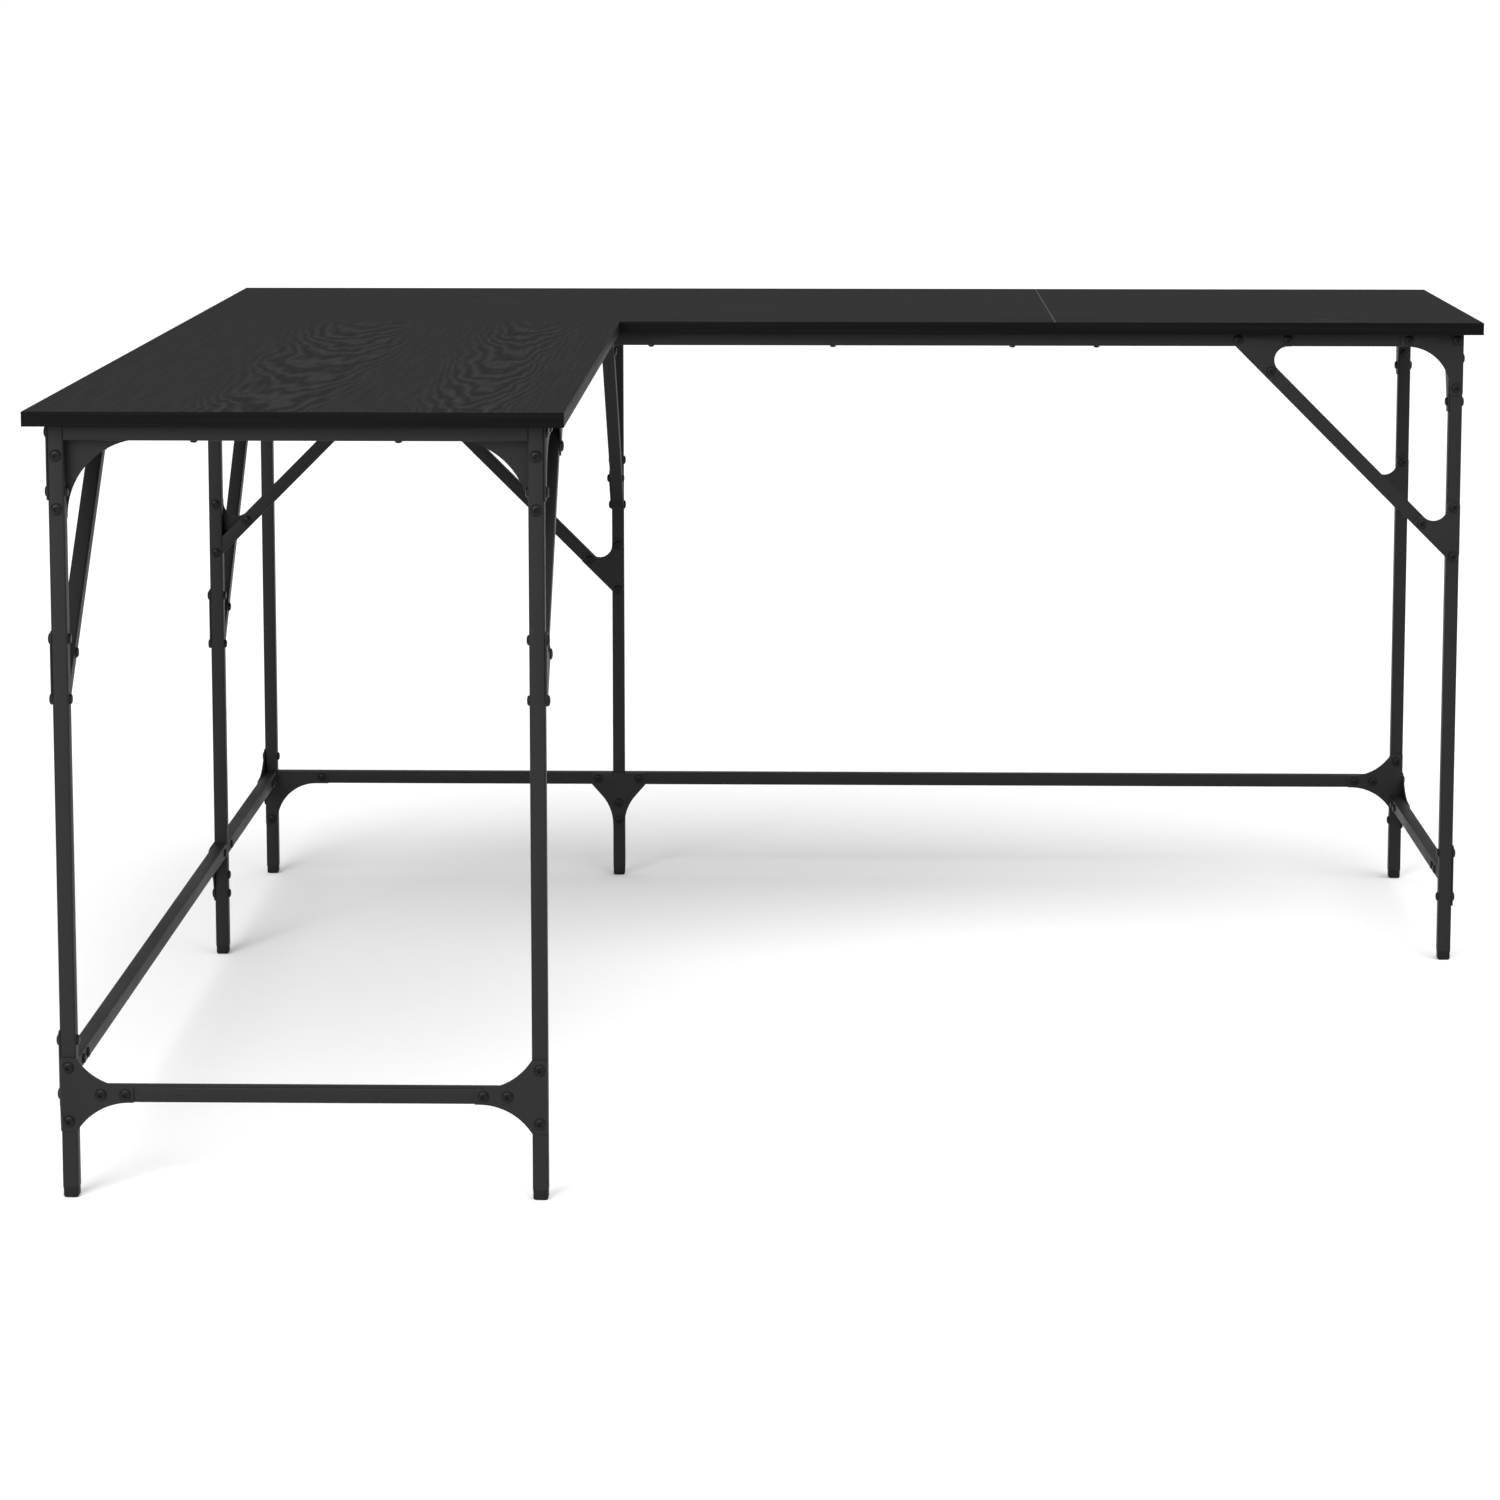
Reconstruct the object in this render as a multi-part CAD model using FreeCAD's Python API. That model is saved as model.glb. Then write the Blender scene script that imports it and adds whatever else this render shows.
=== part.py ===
import FreeCAD, Part
import math
import os

os.makedirs("parts", exist_ok=True)

# L-shaped corner desk. +X to the right, +Y to the back, +Z up, origin on the floor
# under the middle of the square that encloses the top. Millimetres.

# Top
SIDE = 1490.0            # outer length of both arms of the top
WING = 500.0             # depth of both arms
HEIGHT = 750.0
TOP_THICK = 14.0
EDGE_ROUND = 0.8         # eased upper edges of the panels
BACK_PANEL = 1000.0      # length of the back panel, the rest of that arm is the right panel
DOWEL_R = 3.0
DOWEL_LENGTH = 30.0

# Frame of square tube
TUBE = 15.0
WALL = 1.2
TUBE_ROUND = 1.5
INSET = 20.0             # from the edge of the top to the outer face of the frame
CAP_HEIGHT = 10.0
CAP_SIZE = 14.4
PLUG_LENGTH = 15.0
END_BAR_Z = 93.0         # underside of the low bars across the ends of the arms
SIDE_BAR_Z = 118.0       # underside of the low bars along the outer sides

# Braces at 45 degrees: distance from leg to where the outer edge meets the rail
BRACE_REACH = 245.0
LARGE_REACH = 353.0

# Plates and fasteners
PLATE = 1.5
BOLT_R = 3.0
BOLT_HOLE_R = 3.2
HEAD_R = 5.5
HEAD_HEIGHT = 2.6
SOCKET_ACROSS = 4.0
SHORT_DEPTH = 4.4        # how far a short bolt reaches into a tube
NUT_R = 5.0
NUT_HEIGHT = 2.8
THREAD_DEPTH = 1.8       # how far a through bolt reaches into its nut
SCREW_R = 1.75
SCREW_HEAD_R = 3.6
SCREW_INTO_TOP = 10.0

HALF = SIDE / 2
T2 = TUBE / 2
UNDER_TOP = HEIGHT - TOP_THICK
RAIL_Z = UNDER_TOP - TUBE
OUT = HALF - INSET - T2              # centre line of the outer rails and legs
INNER = HALF - WING + INSET + T2     # centre line of the inner rails
END_BAR_MID = END_BAR_Z + T2
SIDE_BAR_MID = SIDE_BAR_Z + T2

# Leg axes, by letter: a front left, b front inner, c left middle, d corner,
# e back middle, f back right, g right front
LEGS = {
    "a": (-OUT, -OUT),
    "b": (-INNER, -OUT),
    "c": (-OUT, INNER),
    "d": (-OUT, OUT),
    "e": (-INNER, OUT),
    "f": (OUT, OUT),
    "g": (OUT, INNER),
}
NAMES = {
    "a": "front_left",
    "b": "front_inner",
    "c": "left_middle",
    "d": "corner",
    "e": "back_middle",
    "f": "back_right",
    "g": "right_front",
}

bolts = []
nuts = []
drills = []


def vec(x, y, z):
    return FreeCAD.Vector(x, y, z)


def box(x0, x1, y0, y1, z0, z1):
    return Part.makeBox(x1 - x0, y1 - y0, z1 - z0, vec(x0, y0, z0))


def save(name, solids):
    shape = solids[0] if len(solids) == 1 else Part.makeCompound(solids)
    shape.exportStep("parts/" + name + ".step")


def at_leg(shape, leg, heading):
    """Set a shape drawn on a leg's axis, +X pointing away from it, onto that leg."""
    moved = shape.copy()
    moved.rotate(vec(0, 0, 0), vec(0, 0, 1), heading)
    moved.translate(vec(LEGS[leg][0], LEGS[leg][1], 0))
    return moved


def rounded_outline(points):
    """Closed wire in the XZ plane from (x, z, corner radius) points."""
    starts = []
    count = len(points)
    for i in range(count):
        x, z, r = points[i]
        before = vec(points[i - 1][0] - x, 0, points[i - 1][1] - z).normalize()
        after = vec(points[(i + 1) % count][0] - x, 0, points[(i + 1) % count][1] - z).normalize()
        here = vec(x, 0, z)
        if r <= 0:
            starts.append((here, None, here))
            continue
        half = before.getAngle(after) / 2
        reach = r / math.tan(half)
        middle = (before + after).normalize() * (r / math.sin(half) - r)
        starts.append((here + before * reach, here + middle, here + after * reach))
    edges = []
    for i in range(count):
        first, arc, last = starts[i]
        if arc is not None:
            edges.append(Part.Arc(first, arc, last).toShape())
        following = starts[(i + 1) % count][0]
        if (following - last).Length > 0.001:
            edges.append(Part.makeLine(last, following))
    return Part.Wire(edges)


def plate(wire, side):
    """Sheet metal cut to a wire, on the +Y (side 1) or -Y (side -1) face of the tubes."""
    face = Part.Face(wire)
    sheet = face.extrude(vec(0, side * PLATE, 0))
    sheet.translate(vec(0, side * T2, 0))
    return sheet


def square_tube(length):
    """Hollow square tube along +X from the origin, centred on the axis."""
    outer = box(0, length, -T2, T2, -T2, T2)
    long_edges = [e for e in outer.Edges if abs(e.tangentAt(e.FirstParameter).x) > 0.99]
    outer = outer.makeFillet(TUBE_ROUND, long_edges)
    room = T2 - WALL
    return outer.cut(box(-1, length + 1, -room, room, -room, room))


def tube_between(p, q):
    """Square tube from p to q along one of the main directions."""
    run = q - p
    tube = square_tube(run.Length)
    if abs(run.z) > 0:
        tube.rotate(vec(0, 0, 0), vec(0, 1, 0), -90)
    else:
        tube.rotate(vec(0, 0, 0), vec(0, 0, 1), math.degrees(math.atan2(run.y, run.x)))
    tube.translate(p)
    return tube


def level_tube(x0, y0, x1, y1, z_low):
    return tube_between(vec(x0, y0, z_low + T2), vec(x1, y1, z_low + T2))


def hexagon(across, height, z):
    r = across / 2 / math.cos(math.radians(30))
    corners = [vec(r * math.cos(math.radians(60 * k)), r * math.sin(math.radians(60 * k)), z)
               for k in range(6)]
    wire = Part.makePolygon(corners + [corners[0]])
    return Part.Face(wire).extrude(vec(0, 0, height))


def bolt_solid(length):
    """Button-head bolt, head above z = 0 and shank below."""
    head = Part.makeCylinder(HEAD_R, HEAD_HEIGHT)
    head = head.makeFillet(HEAD_HEIGHT * 0.8, [head.Edges[0]])
    head = head.cut(hexagon(SOCKET_ACROSS, 2.5, HEAD_HEIGHT - 2.0))
    shank = Part.makeCylinder(BOLT_R, length, vec(0, 0, -length))
    return head.fuse(shank).removeSplitter()


def nut_solid():
    """Low domed nut with a blind bore that takes the end of the bolt."""
    nut = Part.makeCylinder(NUT_R, NUT_HEIGHT)
    nut = nut.makeFillet(NUT_HEIGHT * 0.7, [nut.Edges[0]])
    return nut.cut(Part.makeCylinder(BOLT_R, THREAD_DEPTH + 1, vec(0, 0, -1)))


def add_bolt(leg, heading, side, x, z, short=False, plate_inside=False):
    """Bolt across a tube at (x, z) in the leg's own frame, head on the given side.

    The plate lies under the head, or under the nut when plate_inside is set.
    """
    under_head = T2 + (0 if plate_inside else PLATE)
    under_nut = T2 + (PLATE if plate_inside else 0)
    if short:
        length = PLATE + SHORT_DEPTH
    else:
        length = under_head + under_nut + THREAD_DEPTH
    bolt = bolt_solid(length)
    bolt.rotate(vec(0, 0, 0), vec(1, 0, 0), -90 * side)
    bolt.translate(vec(x, side * under_head, z))
    bolts.append(at_leg(bolt, leg, heading))
    if not short:
        nut = nut_solid()
        nut.rotate(vec(0, 0, 0), vec(1, 0, 0), 90 * side)
        nut.translate(vec(x, -side * under_nut, z))
        nuts.append(at_leg(nut, leg, heading))
    depth = T2 + PLATE + 1
    if short:
        hole = Part.makeCylinder(BOLT_HOLE_R, T2, vec(x, side * depth, z), vec(0, -side, 0))
    else:
        hole = Part.makeCylinder(BOLT_HOLE_R, 2 * depth, vec(x, side * depth, z), vec(0, -side, 0))
    drills.append(at_leg(hole, leg, heading))


def corner_fan(leg, heading, side, short_low=False):
    """Quarter-round plate between a leg and the outer rail above it, on the outer face."""
    radius = 50.0
    end = T2 + radius + 7
    low = RAIL_Z - radius - 6
    wire = rounded_outline([
        (-T2, UNDER_TOP, 2),
        (end, UNDER_TOP, 4),
        (end, RAIL_Z, 2),
        (T2, RAIL_Z, radius),
        (T2, low, 2),
        (-T2, low, 2),
    ])
    add_bolt(leg, heading, side, 0, RAIL_Z + T2, short=True)
    add_bolt(leg, heading, side, 0, RAIL_Z - 48, short=short_low)
    add_bolt(leg, heading, side, T2 + 48, RAIL_Z + T2)
    return at_leg(plate(wire, side), leg, heading)


def end_fan(leg, heading, side):
    """Larger quarter-round plate welded behind an end rail and bolted to the leg's inner face."""
    radius = 73.0
    end = T2 + radius + 3
    low = RAIL_Z - radius - 2.5
    wire = rounded_outline([
        (T2, UNDER_TOP, 0),
        (end, UNDER_TOP, 2),
        (end, RAIL_Z, 1),
        (T2, RAIL_Z, radius),
        (T2, low, 2),
        (-T2, low, 2),
        (-T2, RAIL_Z, 0),
        (T2, RAIL_Z, 0),
    ])
    add_bolt(leg, heading, -side, 0, RAIL_Z - 14, plate_inside=True)
    add_bolt(leg, heading, -side, 0, RAIL_Z - 64, plate_inside=True)
    return at_leg(plate(wire, side), leg, heading)


def brace_bar(reach, leg, heading):
    """Square tube at 45 degrees, mitred against the leg's face and the rail's underside."""
    long_tube = square_tube(reach * 2)
    long_tube.translate(vec(-reach, 0, 0))
    long_tube.rotate(vec(0, 0, 0), vec(0, 1, 0), -45)
    middle = (reach - T2 * math.sqrt(2)) / 2
    long_tube.translate(vec(T2 + middle, 0, RAIL_Z - middle))
    room = box(T2, T2 + 2 * reach, -TUBE, TUBE, RAIL_Z - 2 * reach, RAIL_Z)
    return at_leg(long_tube.common(room), leg, heading)


def brace_gussets(reach, leg, heading, side, inside=False):
    """Two plates that bolt a brace to its rail and leg; inside puts them on the far face."""
    slant = math.sqrt(2)
    bar_in = reach - TUBE * slant                # inner edge of the bar, along the rail
    tip = reach - TUBE * slant / 2
    start = reach - 66
    stop = reach + 4
    run = tip - 49 * slant                       # plate ends 49 along the bar
    outer_end = ((reach + run) / 2, (reach - run) / 2)
    inner_end = ((bar_in + run) / 2, (bar_in - run) / 2)
    points = [
        (start, -TUBE, 5),
        (stop, -TUBE, 8),
        (stop, -4, 5),
        (outer_end[0], outer_end[1], 3),
        (inner_end[0], inner_end[1], 3),
        (bar_in, 0, 15.5),
        (start, 0, 4),
    ]
    plate_side = -side if inside else side
    upper = rounded_outline([(T2 + u, RAIL_Z - v, r) for u, v, r in points])
    lower = rounded_outline([(T2 + v, RAIL_Z - u, r) for u, v, r in points])
    pair = [at_leg(plate(wire, plate_side), leg, heading) for wire in (upper, lower)]
    for u in (reach - 58.5, reach - 1.5):
        add_bolt(leg, heading, side, T2 + u, RAIL_Z + T2, plate_inside=inside)
        add_bolt(leg, heading, side, 0, RAIL_Z - u, plate_inside=inside)
    on_bar = tip - 41 * slant
    u = (tip + on_bar) / 2
    v = (tip - on_bar) / 2
    add_bolt(leg, heading, side, T2 + u, RAIL_Z - v, plate_inside=inside)
    add_bolt(leg, heading, side, T2 + v, RAIL_Z - u, plate_inside=inside)
    return pair


def fish_tail(heading, leg, side, middle, wrap=False, blocked="", above_bar=False):
    """Plate that widens in two arcs from a low bar to the leg; wrap carries it to the corner.

    With above_bar its part over the leg stops on top of the end bar that meets the leg there.
    """
    flare = 28.0
    run = 50.0
    radius = (run * run + flare * flare) / (2 * flare)
    half_way = radius - math.sqrt(radius * radius - run * run / 4)
    end = T2 + run + 4
    back = -T2 - (PLATE if wrap else 0)
    tall = T2 + flare
    edges = []

    def point(x, up):
        return vec(x, 0, middle + up)

    for sign in (1, -1):
        edges.append(Part.Arc(point(T2, sign * tall), point(T2 + run / 2, sign * (T2 + half_way)),
                              point(T2 + run, sign * T2)).toShape())
        edges.append(Part.makeLine(point(T2 + run, sign * T2), point(end, sign * T2)))
        edges.append(Part.makeLine(point(T2, sign * tall), point(back, sign * tall)))
    edges.append(Part.makeLine(point(end, T2), point(end, -T2)))
    edges.append(Part.makeLine(point(back, tall), point(back, -tall)))
    wire = Part.Wire(Part.__sortEdges__(edges))
    add_bolt(leg, heading, side, 0, middle + 26, short=(blocked == "upper"))
    if not above_bar:
        add_bolt(leg, heading, side, 0, middle - 26, short=(blocked == "lower"))
    add_bolt(leg, heading, side, T2 + 23, middle)
    add_bolt(leg, heading, side, T2 + 46, middle)
    shape = plate(wire, side)
    if above_bar:
        shape = shape.cut(box(-T2 - 1, T2, -20, 20, middle - tall - 1, END_BAR_Z + TUBE))
    return at_leg(shape, leg, heading)


def tee_plate(leg, heading, side):
    """Plate across a middle leg under two low bars that meet there."""
    reach = 34.0
    top = SIDE_BAR_Z + TUBE
    throat = 88.0
    foot = 64.0
    wire = rounded_outline([
        (-reach, top, 1),
        (reach, top, 1),
        (reach, SIDE_BAR_Z, 2),
        (T2, throat, 56),
        (T2, foot, 2),
        (-T2, foot, 2),
        (-T2, throat, 56),
        (-reach, SIDE_BAR_Z, 2),
    ])
    add_bolt(leg, heading, side, 0, 94)
    add_bolt(leg, heading, side, 0, 72)
    add_bolt(leg, heading, side, 26, SIDE_BAR_MID)
    add_bolt(leg, heading, side, -26, SIDE_BAR_MID)
    return at_leg(plate(wire, side), leg, heading)


def corner_tail(leg, heading, side):
    """Lower plate of the corner leg on the front face: one large arc below the bar.

    Its upper left corner is cut away for the end of the left bar.
    """
    radius = 50.0
    end = T2 + radius + 16
    low = SIDE_BAR_Z - radius - 4
    wire = rounded_outline([
        (T2, SIDE_BAR_Z + TUBE, 0),
        (end, SIDE_BAR_Z + TUBE, 1),
        (end, SIDE_BAR_Z, 1),
        (T2, SIDE_BAR_Z, radius),
        (T2, low, 2),
        (-T2, low, 2),
        (-T2, SIDE_BAR_Z, 0),
        (T2, SIDE_BAR_Z, 0),
    ])
    add_bolt(leg, heading, side, 0, SIDE_BAR_Z - 47)
    add_bolt(leg, heading, side, T2 + 58, SIDE_BAR_MID)
    return at_leg(plate(wire, side), leg, heading)


def panel(x0, x1, y0, y1):
    """Rectangular board with eased upper edges."""
    board = box(x0, x1, y0, y1, UNDER_TOP, HEIGHT)
    upper = [e for e in board.Edges if e.BoundBox.ZMin > HEIGHT - 0.01]
    return board.makeFillet(EDGE_ROUND, upper)


def foot_cap(x, y):
    """Glide with a softened foot and a plug that sits in the leg."""
    half = CAP_SIZE / 2
    base = box(x - half, x + half, y - half, y + half, 0, CAP_HEIGHT)
    upright = [e for e in base.Edges if abs(e.tangentAt(e.FirstParameter).z) > 0.99]
    base = base.makeFillet(2.5, upright)
    rim = [e for e in base.Edges if e.BoundBox.ZMax < 0.01]
    base = base.makeFillet(1.8, rim)
    room = T2 - WALL - 0.1
    plug = box(x - room, x + room, y - room, y + room, CAP_HEIGHT, CAP_HEIGHT + PLUG_LENGTH)
    return base.fuse(plug).removeSplitter()


def top_screw(x, y):
    """Pan-head screw from under a rail into the top."""
    head = Part.makeCylinder(SCREW_HEAD_R, 2.4, vec(x, y, RAIL_Z - 2.4))
    head = head.makeFillet(1.4, [e for e in head.Edges if e.BoundBox.ZMax < RAIL_Z - 2.3])
    shank = Part.makeCylinder(SCREW_R, TUBE + SCREW_INTO_TOP, vec(x, y, RAIL_Z))
    return head.fuse(shank).removeSplitter()


def seam_dowel(x, y, along):
    middle = vec(x, y, HEIGHT - TOP_THICK / 2)
    return Part.makeCylinder(DOWEL_R, DOWEL_LENGTH, middle - along * (DOWEL_LENGTH / 2), along)


# Plates, with their bolts and holes
plates = {}
plates["fan_front_left"] = [corner_fan("a", 90, 1)]
plates["fan_front_inner"] = [corner_fan("b", 90, -1)]
plates["fans_corner"] = [corner_fan("d", -90, -1, short_low=True), corner_fan("d", 0, 1, short_low=True)]
plates["fan_back_right"] = [corner_fan("f", 180, -1)]
plates["fan_right_front"] = [corner_fan("g", 180, 1)]
plates["fans_front_end"] = [end_fan("a", 0, 1), end_fan("b", 180, -1)]
plates["fans_right_end"] = [end_fan("f", -90, -1), end_fan("g", 90, 1)]

# leg, heading of the rail, side of the bolt heads, plates on the far side, reach
BRACES = {
    "front_left": ("a", 90, 1, False, BRACE_REACH),
    "front_inner": ("b", 90, -1, False, BRACE_REACH),
    "left_middle": ("c", 0, -1, True, BRACE_REACH),
    "back_middle": ("e", -90, 1, True, BRACE_REACH),
    "back_right": ("f", 180, 1, False, BRACE_REACH),
    "right_front": ("g", 180, 1, False, BRACE_REACH),
    "large_left": ("c", 90, 1, False, LARGE_REACH),
    "large_back": ("e", 180, 1, False, LARGE_REACH),
}
bars = {}
for name, (leg, heading, side, inside, reach) in BRACES.items():
    bars["brace_" + name] = brace_bar(reach, leg, heading)
    plates["gussets_" + name] = brace_gussets(reach, leg, heading, side, inside)

plates["bracket_front_left"] = [
    fish_tail(0, "a", -1, END_BAR_MID, wrap=True, blocked="upper").fuse(
        fish_tail(90, "a", 1, SIDE_BAR_MID, wrap=True, blocked="lower")).removeSplitter()]
plates["bracket_back_right"] = [
    fish_tail(-90, "f", 1, END_BAR_MID, blocked="upper"),
    fish_tail(180, "f", 1, SIDE_BAR_MID, above_bar=True)]
plates["bracket_corner"] = [
    fish_tail(-90, "d", -1, SIDE_BAR_MID),
    corner_tail("d", 0, -1)]
plates["bracket_front_inner"] = [fish_tail(180, "b", 1, END_BAR_MID)]
plates["bracket_right_front"] = [fish_tail(90, "g", -1, END_BAR_MID)]
plates["bracket_left_middle"] = [tee_plate("c", 90, 1)]
plates["bracket_back_middle"] = [tee_plate("e", 180, 1)]

# Tubes
for key, (x, y) in LEGS.items():
    bars["leg_" + NAMES[key]] = tube_between(vec(x, y, CAP_HEIGHT), vec(x, y, UNDER_TOP))

near = INNER - T2
far = OUT - T2
past = INNER + T2
for prefix, side_z, end_z in (("rail_", RAIL_Z, RAIL_Z), ("bar_", SIDE_BAR_Z, END_BAR_Z)):
    bars[prefix + "front_end"] = level_tube(-far, -OUT, -past, -OUT, end_z)
    bars[prefix + "left_front"] = level_tube(-OUT, -far, -OUT, near, side_z)
    bars[prefix + "left_back"] = level_tube(-OUT, past, -OUT, far, side_z)
    bars[prefix + "back_left"] = level_tube(-far, OUT, -past, OUT, side_z)
    bars[prefix + "back_right"] = level_tube(-near, OUT, far, OUT, side_z)
    bars[prefix + "right_end"] = level_tube(OUT, past, OUT, far, end_z)
bars["rail_inner_long"] = level_tube(-far, INNER, far, INNER, RAIL_Z)
bars["rail_inner_front"] = level_tube(-INNER, -far, -INNER, near, RAIL_Z)
bars["rail_inner_back"] = level_tube(-INNER, past, -INNER, far, RAIL_Z)

# Screws into the top; the desk is the same on both sides of its diagonal
screw_places = []
for x, y in [(-590, -OUT), (-400, -OUT), (-210, INNER), (0, INNER), (207, INNER), (304, INNER),
             (-400, INNER), (-150, OUT), (60, OUT), (207, OUT), (304, OUT), (420, OUT),
             (-400, OUT), (-500, OUT)]:
    screw_places.append((x, y))
    screw_places.append((-y, -x))
screws = [top_screw(x, y) for x, y in screw_places]
screw_holes = [Part.makeCylinder(SCREW_R + 0.05, TUBE + SCREW_INTO_TOP + 1, vec(x, y, RAIL_Z - 0.5))
               for x, y in screw_places]

# Panels and dowels
seam_x = BACK_PANEL - HALF
inner_edge = HALF - WING
dowels = []
for offset in (80, 250, 420):
    dowels.append(seam_dowel(-HALF + offset, inner_edge, vec(0, 1, 0)))
    dowels.append(seam_dowel(seam_x, inner_edge + offset, vec(1, 0, 0)))
panels = {
    "panel_front_left": panel(-HALF, -inner_edge, -HALF, inner_edge),
    "panel_back": panel(-HALF, seam_x, inner_edge, HALF),
    "panel_right": panel(seam_x, HALF, inner_edge, HALF),
}


def cut_with(shape, tools):
    """Cut only the tools that reach the shape."""
    near_by = [t for t in tools if t.BoundBox.intersect(shape.BoundBox)]
    return shape.cut(near_by) if near_by else shape


for name, shape in panels.items():
    save(name, [cut_with(shape, dowels + screw_holes)])
for name, shape in bars.items():
    save(name, [cut_with(shape, drills + screw_holes)])
for name, shapes in plates.items():
    save(name, [cut_with(shape, drills) for shape in shapes])
save("seam_dowels", dowels)
save("foot_caps", [foot_cap(x, y) for x, y in LEGS.values()])
save("frame_bolts", bolts)
save("frame_nuts", nuts)
save("top_screws", screws)
print(len(bolts), "bolts", len(nuts), "nuts", len(screws), "screws")
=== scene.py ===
import bpy
import bmesh
import math
import random
from mathutils import Matrix, Vector


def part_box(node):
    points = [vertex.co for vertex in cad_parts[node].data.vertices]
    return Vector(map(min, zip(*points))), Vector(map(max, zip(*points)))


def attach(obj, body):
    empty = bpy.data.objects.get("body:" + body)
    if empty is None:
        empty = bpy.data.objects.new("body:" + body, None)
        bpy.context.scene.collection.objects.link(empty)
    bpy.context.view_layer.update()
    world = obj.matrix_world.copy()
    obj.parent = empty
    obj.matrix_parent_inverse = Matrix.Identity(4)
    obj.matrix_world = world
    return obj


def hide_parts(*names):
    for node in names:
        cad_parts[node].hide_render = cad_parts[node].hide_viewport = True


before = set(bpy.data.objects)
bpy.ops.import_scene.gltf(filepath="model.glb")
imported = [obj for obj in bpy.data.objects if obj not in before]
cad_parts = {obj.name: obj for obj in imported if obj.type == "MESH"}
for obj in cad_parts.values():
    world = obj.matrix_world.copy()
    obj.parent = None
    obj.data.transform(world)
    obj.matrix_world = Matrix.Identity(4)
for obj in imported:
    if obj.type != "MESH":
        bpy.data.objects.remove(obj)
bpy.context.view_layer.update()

MM = 0.001
BODY = "root"
random.seed(7)

# Sizes that the CAD model doesn't give directly, in millimetres
TUBE = 15.0
TUBE_ROUND = 1.6
PLATE = 1.5
HEAD_R = 5.5
HEAD_HEIGHT = 2.6
HEAD_RIM = 0.55
DOME_SINE = 0.9613
SHANK_R = 3.0
SOCKET = 2.0
NUT_R = 5.0
NUT_HEIGHT = 2.8
NUT_RIM = 0.6
BAND = 0.8
T2 = TUBE / 2
PLATE_RIM = 0.32
# values closer than this are the same
SAME = 1e-6

top_low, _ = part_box("panel_back")
leg_low, leg_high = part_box("leg_corner")
mid_low, mid_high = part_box("leg_left_middle")
UNDER_TOP = top_low.z / MM
RAIL_Z = UNDER_TOP - TUBE
# the legs stand on the outer lines and on the lines beside the inner corner
OUT = -(leg_low.x + leg_high.x) / 2 / MM
INNER = (mid_low.y + mid_high.y) / 2 / MM
END_BAR_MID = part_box("bar_front_end")[0].z / MM + T2
SIDE_BAR_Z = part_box("bar_left_front")[0].z / MM
SIDE_BAR_MID = SIDE_BAR_Z + T2

LEGS = {
    "a": ("leg_front_left", -OUT, -OUT),
    "b": ("leg_front_inner", -INNER, -OUT),
    "c": ("leg_left_middle", -OUT, INNER),
    "d": ("leg_corner", -OUT, OUT),
    "e": ("leg_back_middle", -INNER, OUT),
    "f": ("leg_back_right", OUT, OUT),
    "g": ("leg_right_front", OUT, INNER),
}


# ---------------------------------------------------------------- materials

class Nodes:
    """A small helper that adds and links shader nodes."""

    def __init__(self, name):
        self.material = bpy.data.materials.new(name)
        self.material.use_nodes = True
        self.tree = self.material.node_tree
        self.tree.nodes.clear()
        self.output = self.add("ShaderNodeOutputMaterial")
        self.shader = self.add("ShaderNodeBsdfPrincipled")
        self.link(self.shader, "BSDF", self.output, "Surface")
        self.coords = self.add("ShaderNodeTexCoord")

    def add(self, kind, **values):
        node = self.tree.nodes.new(kind)
        for key, value in values.items():
            setattr(node, key, value)
        return node

    def link(self, source, out_name, target, in_name):
        self.tree.links.new(source.outputs[out_name], target.inputs[in_name])

    def scaled(self, scale, turn=(0, 0, 0)):
        mapping = self.add("ShaderNodeMapping")
        mapping.inputs["Scale"].default_value = scale
        mapping.inputs["Rotation"].default_value = turn
        self.link(self.coords, "Object", mapping, "Vector")
        return mapping

    def noise(self, vector, scale, detail=3.0, rough=0.5, distortion=0.0):
        node = self.add("ShaderNodeTexNoise")
        node.inputs["Scale"].default_value = scale
        node.inputs["Detail"].default_value = detail
        node.inputs["Roughness"].default_value = rough
        node.inputs["Distortion"].default_value = distortion
        if vector is None:
            self.link(self.coords, "Object", node, "Vector")
        else:
            self.link(vector, "Vector", node, "Vector")
        return node

    def ramp(self, source, out_name, stops):
        node = self.add("ShaderNodeValToRGB")
        while len(node.color_ramp.elements) < len(stops):
            node.color_ramp.elements.new(0.5)
        for element, (place, colour) in zip(node.color_ramp.elements, stops):
            element.position = place
            element.color = (*colour, 1) if len(colour) == 3 else colour
        self.link(source, out_name, node, "Fac")
        return node

    def spread(self, source, out_name, low, high, from_low=0.0, from_high=1.0):
        node = self.add("ShaderNodeMapRange")
        node.inputs["From Min"].default_value = from_low
        node.inputs["From Max"].default_value = from_high
        node.inputs["To Min"].default_value = low
        node.inputs["To Max"].default_value = high
        self.link(source, out_name, node, "Value")
        return node

    def maths(self, kind, a, b):
        node = self.add("ShaderNodeMath", operation=kind)
        for slot, value in enumerate((a, b)):
            if isinstance(value, tuple):
                self.tree.links.new(value[0].outputs[value[1]], node.inputs[slot])
            else:
                node.inputs[slot].default_value = value
        return node

    def bump(self, source, out_name, strength, distance, under=None):
        node = self.add("ShaderNodeBump")
        node.inputs["Strength"].default_value = strength
        node.inputs["Distance"].default_value = distance
        self.link(source, out_name, node, "Height")
        if under is not None:
            self.link(under, "Normal", node, "Normal")
        return node


def grey(value):
    return (value, value, value)


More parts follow.
